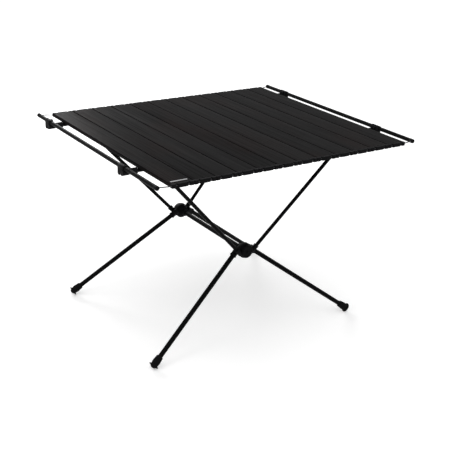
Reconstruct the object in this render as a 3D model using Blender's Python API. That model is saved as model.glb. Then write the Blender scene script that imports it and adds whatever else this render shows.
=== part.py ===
"""Folding camp table with a roll-up slatted top, modelled at its real size in metres.

X runs across the slats, Y runs along them (front is -Y), Z is up. The origin is on the ground,
under the middle of the table. The frame stands a little behind the middle of the top.
"""
import math

import bmesh
import bpy
from mathutils import Matrix, Vector

# Roll-up top
TOP_HEIGHT = 0.512
SLAT_COUNT = 12
MIDDLE_SLAT = SLAT_COUNT // 2 - 1
SLAT_WIDTH = 0.0545
SLAT_GAP = 0.0005
SLAT_THICKNESS = 0.009
SLAT_LENGTH = 0.588
SLAT_WALL = 0.0011
SLAT_TOP_EDGE = 0.0006
SLAT_BOTTOM_EDGE = 0.0014

# Plastic plugs in the slats' ends
PLUG_DEPTH = 0.008
PLUG_LOBE_WIDTH = 0.030
PLUG_LOBE_SETBACK = 0.0010
PLUG_NOTCH_DEPTH = 0.0026
PLUG_NOTCH_WIDTH = 0.0030
PLUG_EDGE = 0.0008
PLUG_PRONG_LENGTH = 0.010

# Side rails and the elastic cord that strings the slats to them
RAIL_RADIUS = 0.005
RAIL_WALL = 0.0009
RAIL_LENGTH = 0.612
RAIL_OUTSET = 0.03155
RAIL_SETBACK = 0.008
RAIL_PLUG_LENGTH = 0.016
CORD_RADIUS = 0.00125
CORD_HOLE_RADIUS = 0.002
CORD_BEND = 0.0025
CORD_EXIT_FROM_END = 0.005
CORD_SIDES = 8

# Brackets that hold the rails on the arms
BRACKET_SPACING = 0.390
BRACKET_LENGTH = 0.028
BRACKET_SHIFT = 0.009
BRACKET_WALL = 0.0020
BRACKET_OUT = 0.0072
BRACKET_DROP = 0.0200
BRACKET_HEEL_WIDTH = 0.0100
BRACKET_COLLAR_WALL = 0.0022
BRACKET_HUG = 0.0012
BRACKET_SLAT_GAP = 0.001
EYE_RADIUS = 0.0045
EYE_WIRE = 0.0014

# Poles
LEG_RADIUS = 0.006
ARM_RADIUS = 0.00475
BAR_RADIUS = 0.006
POLE_WALL = 0.001
POLE_SIDES = 16
ARM_BEND_RADIUS = 0.034
ARM_BEND_X = 0.281
ARM_BEND_STEPS = 5
ARM_TIP_WALL = 0.0032

# Hubs and where the frame stands
FRAME_SETBACK = 0.036
HUB_SPACING = 0.310
HUB_HEIGHT = 0.2195
HUB_RADIUS = 0.0195
HUB_INNER = 0.015
HUB_INNER_RADIUS = 0.0125
HUB_RIM_INNER = 0.0065
HUB_RIM_OUTER = 0.0050
HUB_EDGE = 0.0012
HUB_OUTER = 0.013
HUB_SIDES = 24
SOCKET_X = 0.0207
SOCKET_SPLIT = 0.0131
SOCKET_START = 0.0010
SOCKET_ROOT = 0.0070
LEG_SOCKET_END = 0.0165
ARM_SOCKET_END = 0.0150
SOCKET_WALL = 0.0015
SOCKET_LIP_LENGTH = 0.003
SOCKET_LIP_WALL = 0.0008
BAR_SOCKET_DEPTH = 0.016
BAR_SOCKET_REACH = 0.027
COVER_RADIUS = 0.0150
COVER_RISE = 0.0016
COVER_GROOVE = 0.0006
COVER_RIM_WIDTH = 0.0030
COVER_RIM_DEPTH = 0.0009
RIVET_RADIUS = 0.0038
RIVET_HEIGHT = 0.0015

# Feet
FOOT_SPREAD_X = 0.3003
FOOT_SPREAD_Y = 0.2248
FOOT_LENGTH = 0.026
FOOT_BOTTOM = 0.0057
FOOT_RIM_RADIUS = 0.0125
FOOT_RIM_THICKNESS = 0.0016
FOOT_NOSE = 0.0065
FOOT_WALL = 0.002
FOOT_SIDES = 16

# Running clearance between pieces that touch
GAP = 0.0003

# Worked out from the sizes above
SLAT_PITCH = SLAT_WIDTH + SLAT_GAP
TOP_WIDTH = SLAT_COUNT * SLAT_PITCH - SLAT_GAP
TOP_LENGTH = SLAT_LENGTH + 2 * PLUG_DEPTH
TOP_Y = -(RAIL_LENGTH / 2 + RAIL_SETBACK - TOP_LENGTH / 2) / 2
MID_Z = TOP_HEIGHT - SLAT_THICKNESS / 2
RAIL_X = TOP_WIDTH / 2 + RAIL_OUTSET
RAIL_Y = TOP_Y + RAIL_SETBACK
HUB_Y = HUB_SPACING / 2
BRACKET_Y = BRACKET_SPACING / 2
CORD_INSET = PLUG_DEPTH / 2
ARM_TIP_Z = TOP_HEIGHT - SLAT_THICKNESS - GAP - ARM_RADIUS
ARM_TIP_X = RAIL_X - RAIL_RADIUS - GAP - ARM_TIP_WALL
SLEEVE_RADIUS = RAIL_RADIUS + GAP + BRACKET_WALL
CORNERS = {"front_left": (-1, -1), "front_right": (1, -1), "rear_left": (-1, 1), "rear_right": (1, 1)}


def remove_everything():
    for item in list(bpy.data.objects):
        bpy.data.objects.remove(item, do_unlink=True)


def make_material(name, colour, roughness, metallic):
    material = bpy.data.materials.new(name)
    material.use_nodes = True
    shader = material.node_tree.nodes["Principled BSDF"]
    shader.inputs["Base Color"].default_value = (*colour, 1.0)
    shader.inputs["Roughness"].default_value = roughness
    shader.inputs["Metallic"].default_value = metallic
    return material


def mesh_from(bm, name="shape"):
    bmesh.ops.recalc_face_normals(bm, faces=bm.faces)
    mesh = bpy.data.meshes.new(name)
    bm.to_mesh(mesh)
    bm.free()
    return mesh


def moved(mesh, matrix):
    copy = mesh.copy()
    copy.transform(matrix)
    if matrix.determinant() < 0:
        copy.flip_normals()
    return copy


def boolean(base, tools, operation):
    """The base mesh with each tool mesh added to it or cut from it, in turn."""
    body = bpy.data.objects.new("body", base)
    bpy.context.scene.collection.objects.link(body)
    helpers = []
    for tool in tools:
        helper = bpy.data.objects.new("helper", tool)
        bpy.context.scene.collection.objects.link(helper)
        helpers.append(helper)
        modifier = body.modifiers.new("cut", "BOOLEAN")
        modifier.operation = operation
        modifier.solver = "EXACT"
        modifier.object = helper
    bpy.context.view_layer.update()
    evaluated = body.evaluated_get(bpy.context.evaluated_depsgraph_get())
    result = bpy.data.meshes.new_from_object(evaluated)
    for item in [body, *helpers]:
        bpy.data.objects.remove(item, do_unlink=True)
    return result


def box(low, high):
    bm = bmesh.new()
    bmesh.ops.create_cube(bm, size=1.0)
    low = Vector(low)
    high = Vector(high)
    bmesh.ops.scale(bm, vec=high - low, verts=bm.verts)
    bmesh.ops.translate(bm, vec=(low + high) / 2, verts=bm.verts)
    return mesh_from(bm)


def prism(outline, axis, start, end, edge=0.0):
    """A flat outline carried along an axis, with its long corners optionally eased."""
    along = Vector(axis)
    bm = bmesh.new()
    base = bm.faces.new([bm.verts.new(Vector(point) + along * start) for point in outline])
    grown = bmesh.ops.extrude_face_region(bm, geom=[base])
    top = [item for item in grown["geom"] if isinstance(item, bmesh.types.BMVert)]
    bmesh.ops.translate(bm, vec=along * (end - start), verts=top)
    if edge:
        bm.normal_update()
        flat = {face for face in bm.faces if abs(abs(face.normal.dot(along)) - 1) < 1e-3}
        rims = [item for item in bm.edges if len(flat.intersection(item.link_faces)) == 1]
        bmesh.ops.bevel(bm, geom=rims, offset=edge, segments=1, affect="EDGES")
    return mesh_from(bm)


def swept(points, radius, wall, sides):
    """A round tube along points; with no wall it is a solid rod."""
    points = [Vector(point) for point in points]
    tangents = []
    for index in range(len(points)):
        before = points[max(index - 1, 0)]
        after = points[min(index + 1, len(points) - 1)]
        tangents.append((after - before).normalized())
    side = tangents[0].orthogonal().normalized()
    bm = bmesh.new()
    radii = [radius, radius - wall] if wall else [radius]
    shells = [[] for _ in radii]
    for index, (point, tangent) in enumerate(zip(points, tangents)):
        if index:
            side = tangents[index - 1].rotation_difference(tangent) @ side
        side = (side - tangent * side.dot(tangent)).normalized()
        other = tangent.cross(side)
        for shell, size in zip(shells, radii):
            ring = []
            for step in range(sides):
                angle = 2 * math.pi * step / sides
                ring.append(bm.verts.new(point + (side * math.cos(angle) + other * math.sin(angle)) * size))
            shell.append(ring)
    for shell in shells:
        for first, second in zip(shell, shell[1:]):
            bridge(bm, first, second)
    for end in (0, -1):
        if wall:
            bridge(bm, shells[0][end], shells[1][end])
        else:
            bm.faces.new(shells[0][end])
    return mesh_from(bm)


def bridge(bm, first, second):
    count = len(first)
    for step in range(count):
        after = (step + 1) % count
        bm.faces.new((first[step], first[after], second[after], second[step]))


def turned(profile, sides):
    """A solid turned about Z from (radius, height) points; the first and last points are on the axis."""
    bm = bmesh.new()
    bottom = bm.verts.new((0, 0, profile[0][1]))
    top = bm.verts.new((0, 0, profile[-1][1]))
    rings = []
    for radius, height in profile[1:-1]:
        ring = []
        for step in range(sides):
            angle = 2 * math.pi * step / sides
            ring.append(bm.verts.new((radius * math.cos(angle), radius * math.sin(angle), height)))
        rings.append(ring)
    for first, second in zip(rings, rings[1:]):
        bridge(bm, first, second)
    for step in range(sides):
        after = (step + 1) % sides
        bm.faces.new((bottom, rings[0][step], rings[0][after]))
        bm.faces.new((top, rings[-1][step], rings[-1][after]))
    return mesh_from(bm)


def rod(start, end, radius, sides=POLE_SIDES):
    return swept([start, end], radius, 0, sides)


def aim(point, direction):
    """The placing that puts local +Z along a direction at a point."""
    turn = Vector((0, 0, 1)).rotation_difference(Vector(direction).normalized())
    return Matrix.Translation(Vector(point)) @ turn.to_matrix().to_4x4()


def rounded_corner(before, corner, after, radius, steps):
    """Points of an arc that eases the corner between two straight runs."""
    arriving = (Vector(corner) - Vector(before)).normalized()
    leaving = (Vector(after) - Vector(corner)).normalized()
    turn = arriving.angle(leaving)
    start = Vector(corner) - arriving * radius * math.tan(turn / 2)
    inward = (leaving - arriving * leaving.dot(arriving)).normalized()
    centre = start + inward * radius
    points = []
    for step in range(steps + 1):
        angle = turn * step / steps
        points.append(centre - inward * radius * math.cos(angle) + arriving * radius * math.sin(angle))
    return points


def mirrored(side_x, side_y):
    return Matrix.Diagonal((side_x, side_y, 1, 1))


def add(name, mesh, material, parent):
    """A named piece; its mesh is given in world space and kept about its parent's origin."""
    mesh = mesh.copy()
    mesh.name = name
    mesh.transform(parent.matrix_world.inverted())
    mesh.materials.clear()
    mesh.materials.append(material)
    mesh.shade_smooth()
    mesh.set_sharp_from_angle(angle=math.radians(35))
    piece = bpy.data.objects.new(name, mesh)
    bpy.context.scene.collection.objects.link(piece)
    piece.parent = parent
    return piece


def add_pivot(name, matrix, parent=None):
    """An empty on a joint's axis."""
    pivot = bpy.data.objects.new(name, None)
    bpy.context.scene.collection.objects.link(pivot)
    pivot.parent = parent
    pivot.matrix_world = matrix
    bpy.context.view_layer.update()
    return pivot


def slat_centre(index):
    return -TOP_WIDTH / 2 + SLAT_WIDTH / 2 + index * SLAT_PITCH


def seam(index):
    """Where slat index meets the slat before it."""
    return slat_centre(index) - SLAT_PITCH / 2


def slat_mesh():
    """A hollow two-chamber extrusion about its own middle, its top face at height 0."""
    half = SLAT_WIDTH / 2
    low = -SLAT_THICKNESS
    outline = [
        (-half + SLAT_TOP_EDGE, 0, 0),
        (half - SLAT_TOP_EDGE, 0, 0),
        (half, 0, -SLAT_TOP_EDGE),
        (half, 0, low + SLAT_BOTTOM_EDGE),
        (half - SLAT_BOTTOM_EDGE, 0, low),
        (-half + SLAT_BOTTOM_EDGE, 0, low),
        (-half, 0, low + SLAT_BOTTOM_EDGE),
        (-half, 0, -SLAT_TOP_EDGE),
    ]
    body = prism(outline, (0, 1, 0), -SLAT_LENGTH / 2, SLAT_LENGTH / 2)
    chambers = [box((start, -SLAT_LENGTH, low + SLAT_WALL), (end, SLAT_LENGTH, -SLAT_WALL))
                for start, end in chamber_spans()]
    return boolean(body, chambers, "DIFFERENCE")


def chamber_spans():
    outer = SLAT_WIDTH / 2 - SLAT_WALL
    return [(-outer, -SLAT_WALL / 2), (SLAT_WALL / 2, outer)]


def plug_mesh():
    """A rear end plug of one slat: an ear at each side for the cord and a rounded lobe between."""
    half = SLAT_WIDTH / 2
    lobe = PLUG_LOBE_WIDTH / 2
    lobe_y = PLUG_DEPTH - PLUG_LOBE_SETBACK
    side = [
        (half, GAP),
        (half, PLUG_DEPTH - PLUG_EDGE),
        (half - PLUG_EDGE, PLUG_DEPTH),
        (lobe + PLUG_NOTCH_WIDTH / 2, PLUG_DEPTH),
        (lobe, PLUG_DEPTH - PLUG_NOTCH_DEPTH),
        (lobe - PLUG_NOTCH_WIDTH / 2, lobe_y - PLUG_EDGE),
        (lobe - PLUG_NOTCH_WIDTH, lobe_y),
    ]
    outline = [(x, y, 0) for x, y in side] + [(-x, y, 0) for x, y in reversed(side)]
    flange = prism(outline, (0, 0, 1), -SLAT_THICKNESS, 0)
    prongs = []
    for start, end in chamber_spans():
        low = (start + GAP, -PLUG_PRONG_LENGTH, -SLAT_THICKNESS + SLAT_WALL + GAP)
        high = (end - GAP, PLUG_EDGE, -SLAT_WALL - GAP)
        prongs.append(box(low, high))
    plug = boolean(flange, prongs, "UNION")
    hole = rod((-SLAT_WIDTH, CORD_INSET, -SLAT_THICKNESS / 2), (SLAT_WIDTH, CORD_INSET, -SLAT_THICKNESS / 2),
               CORD_HOLE_RADIUS, CORD_SIDES)
    plug = boolean(plug, [hole], "DIFFERENCE")
    return moved(plug, Matrix.Translation((0, SLAT_LENGTH / 2, 0)))


def rail_cord_mesh(side):
    """The cord from the end slat's front plug, through the rail and back to its rear plug."""
    slat_edge = side * (TOP_WIDTH / 2)
    start_x = slat_edge - side * SLAT_WIDTH
    rail = side * RAIL_X
    front_slat = TOP_Y - TOP_LENGTH / 2 + CORD_INSET
    rear_slat = TOP_Y + TOP_LENGTH / 2 - CORD_INSET
    front_rail = RAIL_Y - RAIL_LENGTH / 2 + CORD_EXIT_FROM_END
    rear_rail = RAIL_Y + RAIL_LENGTH / 2 - CORD_EXIT_FROM_END
    outside_cap = slat_edge + side * CORD_RADIUS
    outside_rail = rail - side * (RAIL_RADIUS + CORD_RADIUS)
    far = rail - side * RAIL_RADIUS
    route = [(start_x, front_slat, MID_Z), (outside_cap, front_slat, MID_Z), (outside_rail, front_rail, MID_Z)]
    route += rounded_corner((far, front_rail, MID_Z), (rail, front_rail, MID_Z), (rail, 0, MID_Z), CORD_BEND, 4)
    route += rounded_corner((rail, 0, MID_Z), (rail, rear_rail, MID_Z), (far, rear_rail, MID_Z), CORD_BEND, 4)
    route += [(outside_rail, rear_rail, MID_Z), (outside_cap, rear_slat, MID_Z), (start_x, rear_slat, MID_Z)]
    return swept(route, CORD_RADIUS, 0, CORD_SIDES)


def rail_mesh():
    """A hollow rail about its middle, with domed ends; the cord leaves it at +X, close to each end."""
    half = RAIL_LENGTH / 2
    profile = [
        (0, -half),
        (0.55 * RAIL_RADIUS, -half),
        (0.85 * RAIL_RADIUS, -half + 0.12 * RAIL_RADIUS),
        (RAIL_RADIUS, -half + 0.4 * RAIL_RADIUS),
        (RAIL_RADIUS, half - 0.4 * RAIL_RADIUS),
        (0.85 * RAIL_RADIUS, half - 0.12 * RAIL_RADIUS),
        (0.55 * RAIL_RADIUS, half),
        (0, half),
    ]
    hollow = half - RAIL_PLUG_LENGTH
    exit_z = half - CORD_EXIT_FROM_END
    inboard = 2 * RAIL_RADIUS
    channel = CORD_HOLE_RADIUS + GAP
    cuts = [
        rod((0, 0, -hollow), (0, 0, hollow), RAIL_RADIUS - RAIL_WALL, POLE_SIDES),
        rod((0, 0, -exit_z - channel), (0, 0, exit_z + channel), channel, 12),
        rod((0, 0, -exit_z), (inboard, 0, -exit_z), CORD_HOLE_RADIUS, 12),
        rod((0, 0, exit_z), (inboard, 0, exit_z), CORD_HOLE_RADIUS, 12),
    ]
    rail = boolean(turned(profile, POLE_SIDES), cuts, "DIFFERENCE")
    return moved(rail, Matrix.Rotation(-math.pi / 2, 4, "X"))


def bracket_mesh():
    """One bracket about its rail's axis: inboard is +X, and its sleeve reaches further towards +Y."""
    tip_z = ARM_TIP_Z - MID_Z
    inboard = RAIL_OUTSET - BRACKET_SLAT_GAP
    slot = ARM_RADIUS + GAP
    collar = slot + BRACKET_COLLAR_WALL
    near = -BRACKET_LENGTH / 2 + BRACKET_SHIFT
    far = BRACKET_LENGTH / 2 + BRACKET_SHIFT
    sleeve = swept([(0, near, 0), (0, far, 0)], SLEEVE_RADIUS, 0, 20)
    ease = BRACKET_HEEL_WIDTH / 4
    heel = far - BRACKET_HEEL_WIDTH
    web_outline = [
        (0, near + BRACKET_WALL, 0),
        (0, near + BRACKET_WALL, tip_z),
        (0, 0, tip_z - 0.8 * collar),
        (0, heel - ease, tip_z - 0.9 * collar),
        (0, heel, -BRACKET_DROP + ease),
        (0, heel + ease, -BRACKET_DROP),
        (0, far - ease, -BRACKET_DROP),
        (0, far, -BRACKET_DROP + ease),
        (0, far, 0),
    ]
    web = prism(web_outline, (1, 0, 0), -BRACKET_OUT, SLEEVE_RADIUS, BRACKET_WALL / 3)
    saddle = rod((-BRACKET_OUT - GAP, 0, tip_z), (inboard, 0, tip_z), collar, 20)
    body = boolean(sleeve, [web, saddle, eye_mesh()], "UNION")
    tip_end = RAIL_X - ARM_TIP_X - GAP
    cuts = [
        rod((0, -BRACKET_LENGTH, 0), (0, 2 * BRACKET_LENGTH, 0), RAIL_RADIUS + GAP, 16),
        rod((tip_end, 0, tip_z), (2 * inboard, 0, tip_z), slot, 16),
        box((tip_end, -2 * collar, tip_z - 2 * collar),
            (2 * inboard, 2 * collar, tip_z + ARM_RADIUS - BRACKET_HUG)),
    ]
    return boolean(body, cuts, "DIFFERENCE")


def eye_mesh():
    """A small arch on the sleeve's inboard side."""
    centre = Vector((SLEEVE_RADIUS, 1.4 * BRACKET_SHIFT, 0.4 * EYE_RADIUS))
    points = []
    for step in range(9):
        angle = math.radians(-90 + 240 * step / 8)
        points.append(centre + EYE_RADIUS * Vector((math.cos(angle), 0, math.sin(angle))))
    return swept(points, EYE_WIRE, 0, 8)


def foot_profile():
    """The foot's outline as (radius, distance up the leg from the rim)."""
    rim = FOOT_RIM_THICKNESS / 2
    bore = LEG_RADIUS + GAP
    mouth = bore + FOOT_WALL
    return [
        (0, -FOOT_NOSE),
        (0.36 * FOOT_RIM_RADIUS, -0.9 * FOOT_NOSE),
        (0.58 * FOOT_RIM_RADIUS, -0.55 * FOOT_NOSE),
        (0.66 * FOOT_RIM_RADIUS, -rim),
        (FOOT_RIM_RADIUS, -rim),
        (FOOT_RIM_RADIUS, rim),
        (mouth + 0.0006, 3 * rim),
        (mouth + 0.0016, 0.36 * FOOT_LENGTH),
        (mouth + 0.0012, 0.62 * FOOT_LENGTH),
        (mouth + 0.0004, 0.85 * FOOT_LENGTH),
        (mouth, FOOT_LENGTH),
        (bore, FOOT_LENGTH),
        (bore, FOOT_BOTTOM),
        (0, FOOT_BOTTOM),
    ]


def leg_line():
    """Socket point, outward direction and length to the rim, for the rear right leg about the frame."""
    socket = Vector((SOCKET_X, HUB_Y - SOCKET_SPLIT / 2, HUB_HEIGHT))
    rim_height = FOOT_RIM_RADIUS
    for _ in range(30):
        rim = Vector((FOOT_SPREAD_X, FOOT_SPREAD_Y, rim_height))
        direction = (rim - socket).normalized()
        lean = math.sqrt(1 - direction.z ** 2)
        rim_height = max(radius * lean + along * direction.z for radius, along in foot_profile())
    return socket, direction, (rim - socket).length


def arm_points():
    """Centreline of the rear right arm about the frame: straight, bent, then level out to its tip."""
    socket = Vector((SOCKET_X, HUB_Y + SOCKET_SPLIT / 2, HUB_HEIGHT))
    corner = Vector((ARM_BEND_X, BRACKET_Y, ARM_TIP_Z))
    tip = Vector((ARM_TIP_X, BRACKET_Y, ARM_TIP_Z))
    direction = (corner - socket).normalized()
    return [socket + direction * SOCKET_START, *rounded_corner(socket, corner, tip, ARM_BEND_RADIUS,
                                                               ARM_BEND_STEPS), tip]


def hub_mesh():
    """The rear hub about the frame's middle: drum with its round cover, and sockets for the poles."""
    centre = Vector((0, HUB_Y, HUB_HEIGHT))
    outward = Vector((0, 1, 0))
    parts = []
    cuts = []
    leg_socket, leg_way, _ = leg_line()
    arm_path = arm_points()
    arm_socket = Vector((SOCKET_X, HUB_Y + SOCKET_SPLIT / 2, HUB_HEIGHT))
    arm_way = (arm_path[0] - arm_socket).normalized()
    for socket, way, radius, end in ((leg_socket, leg_way, LEG_RADIUS, LEG_SOCKET_END),
                                     (arm_socket, arm_way, ARM_RADIUS, ARM_SOCKET_END)):
        bore = radius + GAP
        lip = end - SOCKET_LIP_LENGTH
        for side in (-1, 1):
            turn = mirrored(side, 1)
            wide = bore + SOCKET_WALL
            collar = rod(socket - way * SOCKET_ROOT, socket + way * (lip + GAP), wide, 16)
            band = rod(socket + way * lip, socket + way * end, wide + SOCKET_LIP_WALL, 16)
            hole = rod(socket + way * (SOCKET_START - GAP), socket + way * 2 * end, bore, 16)
            parts += [moved(collar, turn), moved(band, turn)]
            cuts.append(moved(hole, turn))
    bar_wall = BAR_RADIUS + GAP + SOCKET_WALL
    reach = centre - outward * BAR_SOCKET_REACH
    cuts.append(rod(reach - outward * HUB_INNER, reach + outward * BAR_SOCKET_DEPTH, BAR_RADIUS + GAP, 16))
    face = HUB_OUTER + COVER_RISE - COVER_RIM_DEPTH
    drum_profile = [
        (0, -BAR_SOCKET_REACH),
        (bar_wall + SOCKET_LIP_WALL, -BAR_SOCKET_REACH),
        (bar_wall + SOCKET_LIP_WALL, -BAR_SOCKET_REACH + SOCKET_LIP_LENGTH),
        (bar_wall, -BAR_SOCKET_REACH + SOCKET_LIP_LENGTH),
        (bar_wall, -HUB_INNER),
        (HUB_INNER_RADIUS, -HUB_INNER),
        (HUB_RADIUS - 0.3 * (HUB_RADIUS - HUB_INNER_RADIUS), -HUB_RIM_INNER - HUB_EDGE),
        (HUB_RADIUS, -HUB_RIM_INNER),
        (HUB_RADIUS, HUB_RIM_OUTER),
        (HUB_RADIUS - HUB_EDGE, HUB_RIM_OUTER + HUB_EDGE),
        (COVER_RADIUS + COVER_GROOVE + HUB_EDGE, HUB_OUTER),
        (COVER_RADIUS + COVER_GROOVE, HUB_OUTER),
        (COVER_RADIUS + COVER_GROOVE, HUB_OUTER - COVER_GROOVE),
        (COVER_RADIUS, HUB_OUTER - COVER_GROOVE),
        (COVER_RADIUS, face),
        (COVER_RADIUS - COVER_RIM_DEPTH, face + COVER_RIM_DEPTH),
        (COVER_RADIUS - COVER_RIM_WIDTH + COVER_RIM_DEPTH, face + COVER_RIM_DEPTH),
        (COVER_RADIUS - COVER_RIM_WIDTH, face),
        (RIVET_RADIUS, face),
        (0.8 * RIVET_RADIUS, face + 0.7 * RIVET_HEIGHT),
        (0, face + RIVET_HEIGHT),
    ]
    drum = moved(turned(drum_profile, HUB_SIDES), aim(centre, outward))
    body = boolean(drum, parts, "UNION")
    return boolean(body, cuts, "DIFFERENCE")


def slat_carriers(frame):
    """The pivot of each slat: the lift for the middle one, then the seams' upper edges outwards from it."""
    carriers = {MIDDLE_SLAT: add_pivot("top_lift", Matrix.Translation((0, TOP_Y, TOP_HEIGHT)), frame)}
    for index in range(MIDDLE_SLAT + 1, SLAT_COUNT):
        hinge_point = Matrix.Translation((seam(index), TOP_Y, TOP_HEIGHT))
        carriers[index] = add_pivot(f"seam_{index:02d}", hinge_point, carriers[index - 1])
    for index in range(MIDDLE_SLAT, 0, -1):
        hinge_point = Matrix.Translation((seam(index), TOP_Y, TOP_HEIGHT))
        carriers[index - 1] = add_pivot(f"seam_{index:02d}", hinge_point, carriers[index])
    return carriers


def build_top(frame, metal, plastic, elastic, pole_metal):
    """Slats, end plugs, cord, rails and brackets."""
    carriers = slat_carriers(frame)
    slat_shape = slat_mesh()
    rear_plug = plug_mesh()
    front_plug = moved(rear_plug, Matrix.Rotation(math.pi, 4, "Z"))
    for index in range(SLAT_COUNT):
        carrier = carriers[index]
        place = Matrix.Translation((slat_centre(index), TOP_Y, TOP_HEIGHT))
        label = f"{index + 1:02d}"
        add(f"slat_{label}", moved(slat_shape, place), metal, carrier)
        add(f"end_plug_front_{label}", moved(front_plug, place), plastic, carrier)
        add(f"end_plug_rear_{label}", moved(rear_plug, place), plastic, carrier)
    rail_shape = rail_mesh()
    bracket_shape = bracket_mesh()
    for name, side, holder in (("left", -1, carriers[0]), ("right", 1, carriers[SLAT_COUNT - 1])):
        facing = Matrix.Rotation(math.pi * (side + 1) / 2, 4, "Z")
        rail = moved(rail_shape, Matrix.Translation((side * RAIL_X, RAIL_Y, MID_Z)) @ facing)
        add(f"side_rail_{name}", rail, pole_metal, holder)
        add(f"elastic_cord_{name}", rail_cord_mesh(side), elastic, holder)
        for end_name, end in (("front", -1), ("rear", 1)):
            place = Matrix.Translation((side * RAIL_X, FRAME_SETBACK + end * BRACKET_Y, MID_Z))
            add(f"rail_bracket_{end_name}_{name}", moved(bracket_shape, place @ facing), plastic, holder)


def build_frame(frame, plastic, pole_metal):
    """Cross bar, hubs and arms, placed by the frame's own middle."""
    middle = Matrix.Translation((0, FRAME_SETBACK, 0))
    bar_end = HUB_Y - BAR_SOCKET_REACH + BAR_SOCKET_DEPTH - GAP
    bar = swept([(0, -bar_end, HUB_HEIGHT), (0, bar_end, HUB_HEIGHT)], BAR_RADIUS, POLE_WALL, POLE_SIDES)
    add("cross_bar", moved(bar, middle), pole_metal, frame)
    hub = hub_mesh()
    add("hub_front", moved(hub, middle @ Matrix.Rotation(math.pi, 4, "Z")), plastic, frame)
    add("hub_rear", moved(hub, middle), plastic, frame)
    arm = swept(arm_points(), ARM_RADIUS, POLE_WALL, POLE_SIDES)
    for name, (side_x, side_y) in CORNERS.items():
        add(f"arm_{name}", moved(arm, middle @ mirrored(side_x, side_y)), pole_metal, frame)


def build_legs(frame, pole_metal, rubber):
    """Each leg slides in its hub socket along its own axis."""
    middle = Matrix.Translation((0, FRAME_SETBACK, 0))
    socket, way, length = leg_line()
    tube = swept([socket + way * SOCKET_START, socket + way * (length - FOOT_BOTTOM - GAP)],
                 LEG_RADIUS, POLE_WALL, POLE_SIDES)
    foot = moved(turned(foot_profile(), FOOT_SIDES), aim(socket + way * length, -way))
    for name, (side_x, side_y) in CORNERS.items():
        turn = middle @ mirrored(side_x, side_y)
        pivot = add_pivot(f"leg_slide_{name}", Matrix.Translation(turn @ socket), frame)
        add(f"leg_{name}", moved(tube, turn), pole_metal, pivot)
        add(f"foot_{name}", moved(foot, turn), rubber, pivot)


def main():
    remove_everything()
    metal = make_material("anodised_slat", (0.022, 0.022, 0.024), 0.42, 0.9)
    pole_metal = make_material("anodised_pole", (0.014, 0.014, 0.015), 0.32, 0.8)
    plastic = make_material("moulded_plastic", (0.010, 0.010, 0.011), 0.5, 0.0)
    rubber = make_material("foot_rubber", (0.010, 0.010, 0.010), 0.75, 0.0)
    elastic = make_material("elastic_cord", (0.028, 0.028, 0.030), 0.85, 0.0)
    frame = add_pivot("table", Matrix.Identity(4))
    build_top(frame, metal, plastic, elastic, pole_metal)
    build_frame(frame, plastic, pole_metal)
    build_legs(frame, pole_metal, rubber)


if __name__ == "__main__":
    main()
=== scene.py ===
"""Looks of the folding camp table: its slatted top, poles, hubs, brackets and feet, and a plain studio.

X runs across the slats, Y runs along them (front is -Y), Z is up. All sizes are in metres.
"""

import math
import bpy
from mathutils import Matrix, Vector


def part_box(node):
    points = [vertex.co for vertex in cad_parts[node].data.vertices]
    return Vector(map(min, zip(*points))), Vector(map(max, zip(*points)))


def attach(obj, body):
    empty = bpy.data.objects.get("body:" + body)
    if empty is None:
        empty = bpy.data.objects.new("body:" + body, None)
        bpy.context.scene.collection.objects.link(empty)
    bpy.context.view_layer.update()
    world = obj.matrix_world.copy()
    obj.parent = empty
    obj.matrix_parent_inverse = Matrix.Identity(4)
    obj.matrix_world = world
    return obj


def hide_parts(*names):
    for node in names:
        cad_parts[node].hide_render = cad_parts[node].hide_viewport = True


bl_info = {
    "name": "Folding Camp Table",
    "version": (1, 0, 0),
    "blender": (4, 5, 0),
    "location": "View3D > Sidebar > Camp Table",
    "description": "Builds the pieces of a folding camp table with a roll-up slatted top",
    "category": "Add Mesh",
}

import bmesh
import bpy
from bpy.props import FloatProperty, FloatVectorProperty, IntProperty, PointerProperty
from mathutils import Matrix, Vector

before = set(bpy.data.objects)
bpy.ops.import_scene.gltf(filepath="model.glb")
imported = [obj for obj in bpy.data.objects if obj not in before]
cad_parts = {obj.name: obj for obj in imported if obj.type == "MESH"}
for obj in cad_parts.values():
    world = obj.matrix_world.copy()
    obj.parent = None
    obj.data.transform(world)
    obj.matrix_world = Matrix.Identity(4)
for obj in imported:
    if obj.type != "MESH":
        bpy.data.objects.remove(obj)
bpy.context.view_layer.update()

# The top, from the frame's boxes
SLAT_COUNT = 12
FIRST_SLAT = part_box("slat_01")
LAST_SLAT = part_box("slat_12")
FIRST_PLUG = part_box("end_plug_rear_01")
TOP_HEIGHT = FIRST_SLAT[1].z
SLAT_THICKNESS = FIRST_SLAT[1].z - FIRST_SLAT[0].z
SLAT_WIDTH = FIRST_SLAT[1].x - FIRST_SLAT[0].x
SLAT_LENGTH = FIRST_SLAT[1].y - FIRST_SLAT[0].y
SLAT_PITCH = (LAST_SLAT[0].x - FIRST_SLAT[0].x) / (SLAT_COUNT - 1)
TOP_WIDTH = LAST_SLAT[1].x - FIRST_SLAT[0].x
TOP_Y = (FIRST_SLAT[0].y + FIRST_SLAT[1].y) / 2
PLUG_DEPTH = FIRST_PLUG[1].y - FIRST_SLAT[1].y
MID_Z = TOP_HEIGHT - SLAT_THICKNESS / 2

# The plugs' outlines, and where the blank strip lies
PLUG_SHY = 0.0001
PLUG_LOBE_X = 0.015
PLUG_NOTCH_HALF = 0.0034
PLUG_NOTCH_DEPTH = 0.0046
STRIP_INSET_X = 0.0060
STRIP_INSET_Y = 0.0080

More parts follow.
